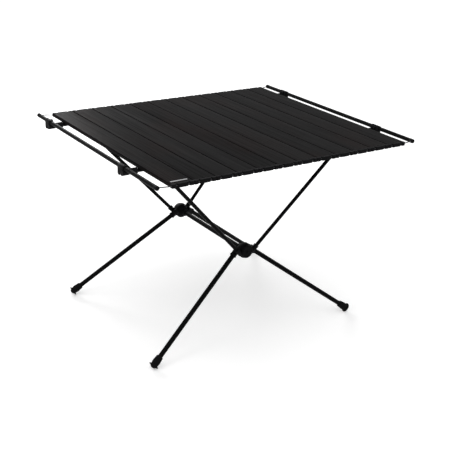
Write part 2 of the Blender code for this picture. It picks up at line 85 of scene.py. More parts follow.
# The rails, cords and brackets: the frame's boxes, then sizes that the solids have
LEFT_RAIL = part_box("side_rail_left")
RAIL_RADIUS = (LEFT_RAIL[1].z - LEFT_RAIL[0].z) / 2
RAIL_LENGTH = LEFT_RAIL[1].y - LEFT_RAIL[0].y
RAIL_X = -(LEFT_RAIL[0].x + LEFT_RAIL[1].x) / 2
RAIL_Y = (LEFT_RAIL[0].y + LEFT_RAIL[1].y) / 2
CORD_RADIUS = 0.00125
CORD_HOLE_RADIUS = 0.002
CORD_INSET = PLUG_DEPTH / 2
CORD_BEND = 0.0025
CORD_EXIT_FROM_END = 0.005
BRACKET_Y = 0.195
BRACKET_LENGTH = 0.028
BRACKET_SHIFT = 0.009
BRACKET_WALL = 0.0020
BRACKET_OUT = 0.0072
BRACKET_DROP = 0.0200
BRACKET_HEEL_WIDTH = 0.0100
BRACKET_COLLAR_WALL = 0.0022
BRACKET_SLAT_GAP = 0.001
RAIL_OUTSET = RAIL_X - TOP_WIDTH / 2

# The cords' bends and overlaps, and the brackets' sleeve and web, which are slimmer than in the solids
CORD_TURN = 0.004
CORD_OVERLAP = 0.0024
SLEEVE_WALL = 0.6 * BRACKET_WALL
WEB_OUT = 0.9 * BRACKET_OUT

# The poles, hubs and feet: the cross bar's box, then sizes that the solids have
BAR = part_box("cross_bar")
BAR_RADIUS = (BAR[1].z - BAR[0].z) / 2
HUB_HEIGHT = (BAR[1].z + BAR[0].z) / 2
FRAME_Y = (BAR[1].y + BAR[0].y) / 2
LEG_RADIUS = 0.006
ARM_RADIUS = 0.00475
POLE_WALL = 0.001
ARM_BEND_RADIUS = 0.034
ARM_BEND_X = 0.281
GAP = 0.0003
ARM_TIP_Z = FIRST_SLAT[0].z - GAP - ARM_RADIUS
ARM_TIP_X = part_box("arm_rear_right")[1].x
HUB_Y = 0.155
HUB_RADIUS = 0.0195
HUB_INNER = 0.015
HUB_OUTER = 0.013
SOCKET_X = 0.0207
SOCKET_SPLIT = 0.0131
SOCKET_START = 0.0010
SOCKET_ROOT = 0.0070
LEG_SOCKET_END = 0.0165
ARM_SOCKET_END = 0.0150
SOCKET_WALL = 0.0015
SOCKET_LIP_WALL = 0.0008
BAR_SOCKET_REACH = 0.027
BAR_SOCKET_DEPTH = 0.016
COVER_RADIUS = 0.0150
FOOT_SPREAD_X = 0.3003
FOOT_SPREAD_Y = 0.2248
FOOT_LENGTH = 0.026
FOOT_BOTTOM = 0.0057
FOOT_RIM_RADIUS = 0.0125
FOOT_RIM_THICKNESS = 0.0016
FOOT_NOSE = 0.0065
FOOT_WALL = 0.002
CORNERS = {"front_left": (-1, -1), "front_right": (1, -1), "rear_left": (-1, 1), "rear_right": (1, 1)}
SIDES = (("left", -1, "slat_01"), ("right", 1, "slat_12"))

# The stage
CAMERA_PLACE = (-1.222, -1.793, 1.147)
CAMERA_TURN = (34.69, 22.57, 2.49)
CAMERA_LENS = 71.8
FLOOR_HALF = 30.0
FLOOR_GLOW = 0.34
WORLD_LIGHT = 0.55

# What like settings share
LENGTH = {"subtype": "DISTANCE", "unit": "LENGTH"}
COLOUR = {"size": 3, "min": 0.0, "max": 1.0, "subtype": "COLOR"}


class CampTableSizes(bpy.types.PropertyGroup):
    """Small sizes of the finish that don't change how the pieces fit."""

    slat_edge: FloatProperty(name="Slat edge", description="Radius of a slat's long upper edges",
                             default=0.0005, min=0.0002, max=0.0009, precision=4, **LENGTH)
    ledge_width: FloatProperty(name="Seam ledge width",
                               description="Width of the ledge along a slat's upper edges",
                               default=0.0012, min=0.0006, max=0.002, precision=4, **LENGTH)
    ledge_depth: FloatProperty(name="Seam ledge depth",
                               description="Depth of the ledge along a slat's upper edges",
                               default=0.0022, min=0.0006, max=0.003, precision=4, **LENGTH)
    slat_heel: FloatProperty(name="Slat lower edge", description="Radius of a slat's long lower edges",
                             default=0.0016, min=0.0005, max=0.003, precision=4, **LENGTH)
    slat_crown: FloatProperty(name="Slat crown", description="How far a slat's middle stands above its edges",
                              default=0.00010, min=0.0, max=0.0004, precision=5, **LENGTH)
    plug_edge: FloatProperty(name="Plug edge", description="Radius of the end plugs' rims",
                             default=0.0003, min=0.0001, max=0.0006, precision=4, **LENGTH)
    cap_length: FloatProperty(name="Rail cap length", description="How far an end cap covers its rail",
                              default=0.012, min=0.008, max=0.02, precision=4, **LENGTH)
    cap_proud: FloatProperty(name="Rail cap lip", description="How far an end cap stands out from its rail",
                             default=0.0003, min=0.0001, max=0.001, precision=4, **LENGTH)
    strip_length: FloatProperty(name="Strip length",
                                description="Length of the blank strip on the first slat",
                                default=0.041, min=0.01, max=0.05, precision=4, **LENGTH)
    strip_width: FloatProperty(name="Strip width", description="Width of the blank strip on the first slat",
                               default=0.0046, min=0.002, max=0.01, precision=4, **LENGTH)
    pole_sides: IntProperty(name="Pole sides", description="How many sides a pole has around it",
                            default=32, min=12, max=64)


class CampTableColours(bpy.types.PropertyGroup):
    """Base colours of the finishes."""

    slat: FloatVectorProperty(name="Slats", description="Black anodised finish of the slats",
                              default=(0.0068, 0.0066, 0.0068), **COLOUR)
    pole: FloatVectorProperty(name="Poles", description="Black anodised finish of the poles and rails",
                              default=(0.0028, 0.0028, 0.0030), **COLOUR)
    plastic: FloatVectorProperty(name="Plastic", description="Moulded hubs, brackets, caps and plugs",
                                 default=(0.0042, 0.0042, 0.0045), **COLOUR)
    rubber: FloatVectorProperty(name="Feet", description="Rubber of the feet",
                                default=(0.0060, 0.0060, 0.0062), **COLOUR)
    cord: FloatVectorProperty(name="Cord", description="Woven cover of the elastic cord",
                              default=(0.045, 0.045, 0.048), **COLOUR)
    strip: FloatVectorProperty(name="Strip", description="Blank strip on the first slat",
                               default=(0.42, 0.42, 0.43), **COLOUR)
    floor: FloatVectorProperty(name="Floor", description="Plain floor under the table",
                               default=(0.86, 0.86, 0.86), **COLOUR)


# Shapes

def mesh_from(bm, name="shape"):
    bmesh.ops.recalc_face_normals(bm, faces=bm.faces)
    mesh = bpy.data.meshes.new(name)
    bm.to_mesh(mesh)
    bm.free()
    return mesh


def moved(mesh, matrix):
    copy = mesh.copy()
    copy.transform(matrix)
    if matrix.determinant() < 0:
        copy.flip_normals()
    return copy


def joined(meshes):
    """Several meshes as one, each still a closed body of its own."""
    bm = bmesh.new()
    for mesh in meshes:
        bm.from_mesh(mesh)
    mesh = bpy.data.meshes.new("group")
    bm.to_mesh(mesh)
    bm.free()
    return mesh


def boolean(base, tools, operation):
    """The base mesh with each tool mesh added to it or cut from it, in turn."""
    body = bpy.data.objects.new("body", base)
    bpy.context.scene.collection.objects.link(body)
    helpers = []
    for tool in tools:
        helper = bpy.data.objects.new("helper", tool)
        bpy.context.scene.collection.objects.link(helper)
        helpers.append(helper)
        modifier = body.modifiers.new("cut", "BOOLEAN")
        modifier.operation = operation
        modifier.solver = "EXACT"
        modifier.object = helper
    bpy.context.view_layer.update()
    evaluated = body.evaluated_get(bpy.context.evaluated_depsgraph_get())
    result = bpy.data.meshes.new_from_object(evaluated)
    for item in [body, *helpers]:
        bpy.data.objects.remove(item, do_unlink=True)
    return result


def bridge(bm, first, second):
    count = len(first)
    return [bm.faces.new((first[step], first[(step + 1) % count], second[(step + 1) % count], second[step]))
            for step in range(count)]


def swept(points, radius, sides, wall=0.0):
    """A round tube along points, or a solid rod without a wall. Its UVs are metres around and along."""
    points = [Vector(point) for point in points]
    tangents = []
    for index in range(len(points)):
        before = points[max(index - 1, 0)]
        after = points[min(index + 1, len(points) - 1)]
        tangents.append((after - before).normalized())
    side = tangents[0].orthogonal().normalized()
    bm = bmesh.new()
    uv = bm.loops.layers.uv.new("metres")
    spots = {}
    radii = [radius, radius - wall] if wall else [radius]
    shells = [[] for _ in radii]
    travelled = 0.0
    for index, (point, tangent) in enumerate(zip(points, tangents)):
        if index:
            side = tangents[index - 1].rotation_difference(tangent) @ side
            travelled += (point - points[index - 1]).length
        side = (side - tangent * side.dot(tangent)).normalized()
        other = tangent.cross(side)
        for shell, size in zip(shells, radii):
            ring = []
            for step in range(sides):
                angle = 2 * math.pi * step / sides
                spot = bm.verts.new(point + (side * math.cos(angle) + other * math.sin(angle)) * size)
                spots[spot] = (step / sides, travelled)
                ring.append(spot)
            shell.append(ring)
    for shell in shells:
        for first, second in zip(shell, shell[1:]):
            bridge(bm, first, second)
    for end in (0, -1):
        if wall:
            bridge(bm, shells[0][end], shells[1][end])
        else:
            bm.faces.new(shells[0][end])
    around = 2 * math.pi * radius
    for face in bm.faces:
        turns = [spots[loop.vert][0] for loop in face.loops]
        wraps = max(turns) - min(turns) > 0.5 and len(turns) == 4
        for loop, turn in zip(face.loops, turns):
            loop[uv].uv = ((turn + (wraps and turn < 0.5)) * around, spots[loop.vert][1])
    return mesh_from(bm)


def rod(start, end, radius, sides=24):
    return swept([start, end], radius, sides)


def turned(profile, sides):
    """A solid turned about Z from (radius, height) points, with the first and last points on the axis."""
    bm = bmesh.new()
    bottom = bm.verts.new((0, 0, profile[0][1]))
    top = bm.verts.new((0, 0, profile[-1][1]))
    rings = []
    for radius, height in profile[1:-1]:
        rings.append([bm.verts.new((radius * math.cos(2 * math.pi * step / sides),
                                    radius * math.sin(2 * math.pi * step / sides), height))
                      for step in range(sides)])
    for first, second in zip(rings, rings[1:]):
        bridge(bm, first, second)
    for step in range(sides):
        after = (step + 1) % sides
        bm.faces.new((bottom, rings[0][step], rings[0][after]))
        bm.faces.new((top, rings[-1][step], rings[-1][after]))
    return mesh_from(bm)


def prism(outline, axis, start, end, edge=0.0, steps=2):
    """A flat outline carried along an axis, with its rims rounded."""
    along = Vector(axis)
    bm = bmesh.new()
    base = bm.faces.new([bm.verts.new(Vector(point) + along * start) for point in outline])
    grown = bmesh.ops.extrude_face_region(bm, geom=[base])
    top = [item for item in grown["geom"] if isinstance(item, bmesh.types.BMVert)]
    bmesh.ops.translate(bm, vec=along * (end - start), verts=top)
    if edge:
        bm.normal_update()
        flat = {face for face in bm.faces if abs(abs(face.normal.dot(along)) - 1) < 1e-3}
        rims = [item for item in bm.edges if len(flat.intersection(item.link_faces)) == 1]
        bmesh.ops.bevel(bm, geom=rims, offset=edge, segments=steps, profile=0.5, affect="EDGES")
    return mesh_from(bm)


def rounded(corners, steps=3):
    """A closed outline from ((x, y), radius) corners, each eased with its own radius."""
    points = [point for point, _ in corners]
    result = []
    for index, (point, radius) in enumerate(corners):
        here = Vector(point)
        if radius <= 0:
            result.append(here)
            continue
        before = (Vector(points[index - 1]) - here).normalized()
        after = (Vector(points[(index + 1) % len(points)]) - here).normalized()
        half = before.angle(after) / 2
        reach = radius / math.tan(half)
        middle = here + (before + after).normalized() * radius / math.sin(half)
        first = here + before * reach - middle
        last = here + after * reach - middle
        turn = first.angle_signed(last)
        for step in range(steps + 1):
            angle = -turn * step / steps
            spin = Vector((first.x * math.cos(angle) - first.y * math.sin(angle),
                           first.x * math.sin(angle) + first.y * math.cos(angle)))
            result.append(middle + spin)
    return result


def groove(radius, at, depth, mouth, floor):
    """Profile points of a groove round a turned piece, with the half widths of its mouth and its floor."""
    return [(radius, at - mouth), (radius - depth, at - floor),
            (radius - depth, at + floor), (radius, at + mouth)]


def aim(point, direction):
    """The placing that puts local +Z along a direction at a point."""
    turn = Vector((0, 0, 1)).rotation_difference(Vector(direction).normalized())
    return Matrix.Translation(Vector(point)) @ turn.to_matrix().to_4x4()


def rounded_corner(before, corner, after, radius, steps):
    """Points of an arc that eases the corner between two straight runs."""
    arriving = (Vector(corner) - Vector(before)).normalized()
    leaving = (Vector(after) - Vector(corner)).normalized()
    turn = arriving.angle(leaving)
    start = Vector(corner) - arriving * radius * math.tan(turn / 2)
    inward = (leaving - arriving * leaving.dot(arriving)).normalized()
    centre = start + inward * radius
    return [centre - inward * radius * math.cos(turn * step / steps)
            + arriving * radius * math.sin(turn * step / steps) for step in range(steps + 1)]


def mirrored(side_x, side_y):
    return Matrix.Diagonal((side_x, side_y, 1, 1))


def facing(side):
    """Half a turn about Z for the right side of the top; its pieces are modelled for the left."""
    return Matrix.Rotation(math.pi * (side + 1) / 2, 4, "Z")


def frame_corners():
    """Each corner's name, and the placing that carries the rear right pole to it."""
    for name, (side, end) in CORNERS.items():
        yield name, Matrix.Translation((0, FRAME_Y, 0)) @ mirrored(side, end)


def add_piece(name, mesh, material, body, replaced=(), crease=32):
    """A named piece that rides on its body and stands for the frame's nodes."""
    mesh = mesh.copy()
    mesh.name = name
    mesh.materials.clear()
    mesh.materials.append(material)
    mesh.shade_smooth()
    mesh.set_sharp_from_angle(angle=math.radians(crease))
    piece = bpy.data.objects.new(name, mesh)
    bpy.context.scene.collection.objects.link(piece)
    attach(piece, body)
    if replaced:
        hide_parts(*replaced)
    return piece


def slat_middle(index):
    """X of the middle of a slat, counted from 0 at the left."""
    return FIRST_SLAT[0].x + SLAT_WIDTH / 2 + index * SLAT_PITCH


def leg_line():
    """Socket point, outward way and length to the rim, for the rear right leg about the frame's middle."""
    socket = Vector((SOCKET_X, HUB_Y - SOCKET_SPLIT / 2, HUB_HEIGHT))
    rim_height = FOOT_RIM_RADIUS
    for _ in range(30):
        rim = Vector((FOOT_SPREAD_X, FOOT_SPREAD_Y, rim_height))
        way = (rim - socket).normalized()
        lean = math.sqrt(1 - way.z ** 2)
        rim_height = max(radius * lean + along * way.z for radius, along in foot_outline())
    return socket, way, (rim - socket).length


def arm_route():
    """Middle line of the rear right arm about the frame's middle."""
    socket = Vector((SOCKET_X, HUB_Y + SOCKET_SPLIT / 2, HUB_HEIGHT))
    corner = Vector((ARM_BEND_X, BRACKET_Y, ARM_TIP_Z))
    tip = Vector((ARM_TIP_X, BRACKET_Y, ARM_TIP_Z))
    way = (corner - socket).normalized()
    return socket, way, [socket + way * SOCKET_START,
                         *rounded_corner(socket, corner, tip, ARM_BEND_RADIUS, 14), tip]


def foot_outline():
    """The solid foot's outline as (radius, distance up the leg from the rim)."""
    rim = FOOT_RIM_THICKNESS / 2
    bore = LEG_RADIUS + GAP
    mouth = bore + FOOT_WALL
    return [
        (0, -FOOT_NOSE), (0.36 * FOOT_RIM_RADIUS, -0.9 * FOOT_NOSE),
        (0.58 * FOOT_RIM_RADIUS, -0.55 * FOOT_NOSE),
        (0.66 * FOOT_RIM_RADIUS, -rim), (FOOT_RIM_RADIUS, -rim), (FOOT_RIM_RADIUS, rim),
        (mouth + 0.0006, 3 * rim), (mouth + 0.0016, 0.36 * FOOT_LENGTH), (mouth + 0.0012, 0.62 * FOOT_LENGTH),
        (mouth + 0.0004, 0.85 * FOOT_LENGTH), (mouth, FOOT_LENGTH), (bore, FOOT_LENGTH), (bore, FOOT_BOTTOM),
        (0, FOOT_BOTTOM),
    ]


# Finishes

def node(tree, kind, settings=None, values=None):
    made = tree.nodes.new(kind)
    for key, value in (settings or {}).items():
        setattr(made, key, value)
    for key, value in (values or {}).items():
        made.inputs[key].default_value = value
    return made


def new_finish(name, coordinates="Object"):
    """A material with its node tree, main shader and coordinates, which are None where it was made before."""
    material = bpy.data.materials.get(name)
    if material:
        return material, None, None, None
    material = bpy.data.materials.new(name)
    material.use_nodes = True
    tree = material.node_tree
    place = node(tree, "ShaderNodeTexCoord").outputs[coordinates]
    return material, tree, tree.nodes["Principled BSDF"], place


def split(tree, place):
    """The X, Y and Z sockets of a place."""
    apart = node(tree, "ShaderNodeSeparateXYZ")
    tree.links.new(place, apart.inputs["Vector"])
    return apart.outputs


def grain(tree, place, scale, detail=2.0, roughness=0.5):
    """Noise whose scale differs along each axis, in grains a metre."""
    mapping = node(tree, "ShaderNodeMapping", values={"Scale": scale})
    noise = node(tree, "ShaderNodeTexNoise", values={"Scale": 1.0, "Detail": detail, "Roughness": roughness})
    tree.links.new(place, mapping.inputs["Vector"])
    tree.links.new(mapping.outputs["Vector"], noise.inputs["Vector"])
    return noise.outputs[0]


def spread(tree, value, low, high, to_low=0.0, to_high=1.0):
    """A value carried from one range to another, and kept inside it."""
    ranged = node(tree, "ShaderNodeMapRange", values={"From Min": low, "From Max": high,
                                                      "To Min": to_low, "To Max": to_high})
    tree.links.new(value, ranged.inputs["Value"])
    return ranged.outputs["Result"]


def reckon(tree, operation, first, second=None):
    made = node(tree, "ShaderNodeMath", {"operation": operation})
    for socket, value in zip(made.inputs, (first, second)):
        if isinstance(value, bpy.types.NodeSocket):
            tree.links.new(value, socket)
        elif value is not None:
            socket.default_value = value
    return made.outputs[0]


def mixed(tree, factor, first, second):
    """Two colours mixed by a factor; each is a colour or a socket."""
    made = node(tree, "ShaderNodeMix", {"data_type": "RGBA"})
    tree.links.new(factor, made.inputs[0])
    for socket, value in ((made.inputs[6], first), (made.inputs[7], second)):
        if isinstance(value, bpy.types.NodeSocket):
            tree.links.new(value, socket)
        else:
            socket.default_value = (*value, 1.0)
    return made.outputs[2]


def seen_rays(tree):
    """1 for rays that show the background, straight, mirrored or through glass, and 0 for light."""
    rays = node(tree, "ShaderNodeLightPath")
    return reckon(tree, "MAXIMUM", rays.outputs["Is Transmission Ray"],
                  reckon(tree, "MAXIMUM", rays.outputs["Is Camera Ray"], rays.outputs["Is Glossy Ray"]))


def tint(colour, red, green=None, blue=None):
    """A colour times a share for each channel, or one share for all."""
    green = red if green is None else green
    blue = red if blue is None else blue
    return tuple(max(0.0, part * share) for part, share in zip(colour, (red, green, blue)))


def raised(tree, shader, height, distance, strength=1.0):
    bump = node(tree, "ShaderNodeBump", values={"Strength": strength, "Distance": distance})
    tree.links.new(height, bump.inputs["Height"])
    tree.links.new(bump.outputs["Normal"], shader.inputs["Normal"])


def slat_finish(colour):
    """Black anodised aluminium, brushed along the slat, each slat a little different."""
    material, tree, shader, place = new_finish("black_anodised_slat")
    if tree is None:
        return material
    across = reckon(tree, "SUBTRACT", split(tree, place)["X"], FIRST_SLAT[0].x)
    count = reckon(tree, "FLOOR", reckon(tree, "DIVIDE", across, SLAT_PITCH))
    number = node(tree, "ShaderNodeTexWhiteNoise", {"noise_dimensions": "1D"})
    tree.links.new(count, number.inputs["W"])
    fine = grain(tree, place, (2600.0, 7.0, 2600.0), 3.0, 0.6)
    broad = grain(tree, place, (430.0, 3.2, 430.0), 3.0, 0.62)
    cloud = grain(tree, place, (9.0, 4.0, 9.0), 2.0, 0.5)
    tone = mixed(tree, spread(tree, fine, 0.32, 0.68), tint(colour, 0.72), tint(colour, 1.28))
    streak = mixed(tree, spread(tree, broad, 0.40, 0.72, 0.0, 0.55), tone, tint(colour, 1.75, 1.72, 1.75))
    warm = mixed(tree, spread(tree, cloud, 0.42, 0.66, 0.0, 0.6), streak, tint(colour, 1.7, 1.12, 1.0))
    each = mixed(tree, spread(tree, number.outputs["Value"], 0.0, 1.0, 0.0, 0.35), warm, tint(colour, 1.22))
    tree.links.new(each, shader.inputs["Base Color"])
    rough = reckon(tree, "ADD", spread(tree, fine, 0.3, 0.7, 0.34, 0.54),
                   spread(tree, broad, 0.3, 0.7, -0.03, 0.05))
    tree.links.new(rough, shader.inputs["Roughness"])
    shine = reckon(tree, "MULTIPLY", spread(tree, broad, 0.34, 0.66, 0.0018, 0.0110),
                   spread(tree, number.outputs["Value"], 0.0, 1.0, 0.80, 1.20))
    tree.links.new(shine, shader.inputs["Specular IOR Level"])
    raised(tree, shader, fine, 0.00005, 0.5)
    return material


def pole_finish(colour):
    """Black anodised aluminium tube, satin, with faint drawing lines along it."""
    material, tree, shader, place = new_finish("black_anodised_pole", "UV")
    if tree is None:
        return material
    lines = grain(tree, place, (1500.0, 5.0, 1.0), 2.0, 0.6)
    patches = grain(tree, place, (60.0, 14.0, 1.0), 3.0, 0.5)
    tone = mixed(tree, spread(tree, lines, 0.3, 0.7), tint(colour, 0.75), tint(colour, 1.35))
    worn = mixed(tree, spread(tree, patches, 0.55, 0.80, 0.0, 0.5), tone, tint(colour, 2.3))
    tree.links.new(worn, shader.inputs["Base Color"])
    tree.links.new(reckon(tree, "ADD", spread(tree, lines, 0.3, 0.7, 0.34, 0.44),
                          spread(tree, patches, 0.3, 0.7, -0.03, 0.05)), shader.inputs["Roughness"])
    shader.inputs["Specular IOR Level"].default_value = 0.024
    raised(tree, shader, lines, 0.00002, 0.3)
    return material


def plastic_finish(colour):
    """Black moulded plastic with a fine spark-eroded texture, its rims painted lighter, partly as wear and
    partly as a painted highlight.
    """
    material, tree, shader, place = new_finish("black_moulded_plastic")
    if tree is None:
        return material
    texture = grain(tree, place, (2400.0, 2400.0, 2400.0), 2.0, 0.6)
    handling = grain(tree, place, (90.0, 90.0, 90.0), 3.0, 0.55)
    edge = node(tree, "ShaderNodeNewGeometry").outputs["Pointiness"]
    tone = mixed(tree, spread(tree, texture, 0.3, 0.7), tint(colour, 0.7), tint(colour, 1.4))
    dulled = mixed(tree, spread(tree, handling, 0.48, 0.75, 0.0, 0.6), tone, tint(colour, 2.0, 2.0, 2.05))
    # Pointiness paints the convex rims lighter: partly wear, partly a painted highlight standing in for light
    # on the rims.
    worn_and_highlit_edges = mixed(tree, spread(tree, edge, 0.53, 0.62, 0.0, 0.5), dulled, tint(colour, 4.2, 4.2, 4.3))
    tree.links.new(worn_and_highlit_edges, shader.inputs["Base Color"])
    tree.links.new(spread(tree, handling, 0.3, 0.7, 0.48, 0.62), shader.inputs["Roughness"])
    shader.inputs["Specular IOR Level"].default_value = 0.030
    raised(tree, shader, texture, 0.00005, 0.45)
    return material


def rubber_finish(colour):
    """Matte black rubber, dusty where it stands."""
    material, tree, shader, place = new_finish("black_foot_rubber")
    if tree is None:
        return material
    crumb = grain(tree, place, (1300.0, 1300.0, 1300.0), 3.0, 0.65)
    smear = grain(tree, place, (140.0, 140.0, 300.0), 3.0, 0.6)
    low = spread(tree, split(tree, place)["Z"], 0.002, 0.014, 0.7, 0.0)
    dusty = reckon(tree, "MULTIPLY", low, spread(tree, smear, 0.35, 0.7))
    tone = mixed(tree, spread(tree, crumb, 0.3, 0.7), tint(colour, 0.75), tint(colour, 1.35))
    tree.links.new(mixed(tree, dusty, tone, tint(colour, 3.4, 3.2, 3.0)), shader.inputs["Base Color"])
    tree.links.new(spread(tree, crumb, 0.3, 0.7, 0.72, 0.88), shader.inputs["Roughness"])
    shader.inputs["Specular IOR Level"].default_value = 0.04
    raised(tree, shader, crumb, 0.00007, 0.5)
    return material


def cord_finish(colour):
    """Dark grey woven cover: two sets of strands that cross round the cord."""
    material, tree, shader, place = new_finish("dark_grey_woven_cord", "UV")
    if tree is None:
        return material
    apart = split(tree, place)
    strands = 8
    turn = strands / CORD_RADIUS
    heights = []
    for way in (1.0, -1.0):
        phase = reckon(tree, "ADD", reckon(tree, "MULTIPLY", apart["X"], turn),
                       reckon(tree, "MULTIPLY", apart["Y"], way * turn))
        heights.append(reckon(tree, "ABSOLUTE", reckon(tree, "SINE", reckon(tree, "MULTIPLY", phase, 0.5))))
    weave = reckon(tree, "MAXIMUM", *heights)
    fluff = grain(tree, place, (3500.0, 3500.0, 1.0), 2.0, 0.6)
    # The low gaps between the strands are painted darker: painted shade in the hollows of the weave.
    tone = mixed(tree, spread(tree, weave, 0.5, 1.0), tint(colour, 0.35), tint(colour, 1.15))
    tree.links.new(mixed(tree, spread(tree, fluff, 0.45, 0.75, 0.0, 0.5), tone, tint(colour, 1.9)),
                   shader.inputs["Base Color"])
    tree.links.new(spread(tree, fluff, 0.3, 0.7, 0.78, 0.92), shader.inputs["Roughness"])
    shader.inputs["Specular IOR Level"].default_value = 0.2
    shader.inputs["Sheen Weight"].default_value = 0.15
    raised(tree, shader, weave, 0.00018, 0.8)
    return material


def strip_finish(colour):
    """Pale grey satin film, a little uneven."""
    material, tree, shader, place = new_finish("pale_grey_strip")
    if tree is None:
        return material
    fine = grain(tree, place, (900.0, 900.0, 900.0), 2.0, 0.6)
    broad = grain(tree, place, (70.0, 120.0, 70.0), 2.0, 0.5)
    tone = mixed(tree, spread(tree, fine, 0.3, 0.7), tint(colour, 0.9), tint(colour, 1.06))
    tree.links.new(mixed(tree, spread(tree, broad, 0.35, 0.7, 0.0, 0.6), tone, tint(colour, 0.7)),
                   shader.inputs["Base Color"])
    tree.links.new(spread(tree, broad, 0.3, 0.7, 0.40, 0.55), shader.inputs["Roughness"])
    shader.inputs["Specular IOR Level"].default_value = 0.3
    return material


# Operators, one for each piece or group of like pieces

class CAMPTABLE_OT_slats(bpy.types.Operator):
    """Lay the twelve slats of the roll-up top"""
    bl_idname = "camp_table.slats"
    bl_label = "Slats"

    def execute(self, context):
        sizes = context.scene.camp_table_sizes
        metal = slat_finish(context.scene.camp_table_colours.slat)
        half = SLAT_WIDTH / 2
        crown = sizes.slat_crown
        shoulder = half - sizes.ledge_width
        ledge = -crown - sizes.ledge_depth
        edge, heel = sizes.slat_edge, sizes.slat_heel
        side = [((shoulder, -crown), edge), ((shoulder, ledge), 0.00015), ((half, ledge), 0.0003),
                ((half, -SLAT_THICKNESS), heel)]
        top = [(shoulder * share, -crown * share ** 2) for share in (-0.75, -0.4, 0.0, 0.4, 0.75)]
        corners = [((-x, y), radius) for (x, y), radius in reversed(side)]
        corners += [(point, 0.0) for point in top] + side
        outline = [(point.x, 0, point.y) for point in rounded(corners, 4)]
        bar = prism(outline, (0, 1, 0), -SLAT_LENGTH / 2, SLAT_LENGTH / 2)
        for index in range(SLAT_COUNT):
            label = f"{index + 1:02d}"
            place = Matrix.Translation((slat_middle(index), TOP_Y, TOP_HEIGHT))
            add_piece(f"slat_panel_{label}", moved(bar, place), metal, f"slat_{label}",
                      [f"slat_{label}"], 40)
        return {"FINISHED"}


class CAMPTABLE_OT_end_plugs(bpy.types.Operator):
    """Fit the moulded plugs in both ends of each slat"""
    bl_idname = "camp_table.end_plugs"
    bl_label = "End plugs"

    def execute(self, context):
        edge = context.scene.camp_table_sizes.plug_edge
        plastic = plastic_finish(context.scene.camp_table_colours.plastic)
        half = SLAT_WIDTH / 2 - PLUG_SHY
        side = [((half, GAP), 0.0), ((half, PLUG_DEPTH), 0.0024),
                ((PLUG_LOBE_X + PLUG_NOTCH_HALF, PLUG_DEPTH), 0.0014),
                ((PLUG_LOBE_X, PLUG_DEPTH - PLUG_NOTCH_DEPTH), 0.0007),
                ((PLUG_LOBE_X - PLUG_NOTCH_HALF, PLUG_DEPTH), 0.0014)]
        corners = side + [((-x, y), radius) for (x, y), radius in reversed(side)]
        flange = prism([(point.x, point.y, 0) for point in rounded(corners)], (0, 0, 1),
                       -SLAT_THICKNESS + PLUG_SHY, -PLUG_SHY, edge, 3)
        hole = rod((-SLAT_WIDTH, CORD_INSET, -SLAT_THICKNESS / 2),
                   (SLAT_WIDTH, CORD_INSET, -SLAT_THICKNESS / 2), CORD_HOLE_RADIUS, 20)
        rear = moved(boolean(flange, [hole], "DIFFERENCE"), Matrix.Translation((0, SLAT_LENGTH / 2, 0)))
        front = moved(rear, Matrix.Rotation(math.pi, 4, "Z"))
        for index in range(SLAT_COUNT):
            label = f"{index + 1:02d}"
            place = Matrix.Translation((slat_middle(index), TOP_Y, TOP_HEIGHT))
            for end, shape in (("front", front), ("rear", rear)):
                add_piece(f"slat_plug_{end}_{label}", moved(shape, place), plastic, f"slat_{label}",
                          [f"end_plug_{end}_{label}"], 30)
        return {"FINISHED"}


class CAMPTABLE_OT_elastic_cords(bpy.types.Operator):
    """Thread the elastic cord through the plugs and both side rails"""
    bl_idname = "camp_table.elastic_cords"
    bl_label = "Elastic cords"

    def execute(self, context):
        woven = cord_finish(context.scene.camp_table_colours.cord)
        front_slat = TOP_Y - SLAT_LENGTH / 2 - PLUG_DEPTH + CORD_INSET
        rear_slat = TOP_Y + SLAT_LENGTH / 2 + PLUG_DEPTH - CORD_INSET
        front_rail = RAIL_Y - RAIL_LENGTH / 2 + CORD_EXIT_FROM_END
        rear_rail = RAIL_Y + RAIL_LENGTH / 2 - CORD_EXIT_FROM_END
        for name, side, body in SIDES:
            edge = side * TOP_WIDTH / 2
            start = edge - side * (SLAT_WIDTH + (CORD_OVERLAP if side < 0 else 0))
            rail = side * RAIL_X
            near = edge + side * CORD_RADIUS
            by_rail = rail - side * (RAIL_RADIUS + CORD_RADIUS)
            far = rail - side * RAIL_RADIUS
            first, leaving, entering, inside, turning, onwards = (Vector((x, y, MID_Z)) for x, y in (
                (start, front_slat), (near, front_slat), (by_rail, front_rail), (far, front_rail),
                (rail, front_rail), (rail, 0)))
            route = [first]
            route += rounded_corner(first, leaving, entering, CORD_TURN, 3)
            route += rounded_corner(leaving, entering, turning, CORD_TURN, 3)
            route += rounded_corner(inside, turning, onwards, CORD_BEND, 8)
            back = [Vector((point.x, rear_rail - (point.y - front_rail), point.z)) for point in route[1:]]
            shift = rear_slat - (rear_rail - (front_slat - front_rail))
            back = [Vector((point.x, point.y + (shift if abs(point.x - rail) > 0.02 else 0), point.z))
                    for point in back]
            route += list(reversed(back)) + [Vector((start, rear_slat, MID_Z))]
            add_piece(f"corner_cord_{name}", swept(route, CORD_RADIUS, 16), woven, body,
                      [f"elastic_cord_{name}"], 60)
        for index in range(1, SLAT_COUNT - 1):
            label = f"{index + 1:02d}"
            left = slat_middle(index) - SLAT_WIDTH / 2
            right = left + SLAT_WIDTH + CORD_OVERLAP
            runs = [rod((left, y, MID_Z), (right, y, MID_Z), CORD_RADIUS, 12)
                    for y in (front_slat, rear_slat)]
            add_piece(f"slat_cord_{label}", joined(runs), woven, f"slat_{label}", (), 60)
        return {"FINISHED"}


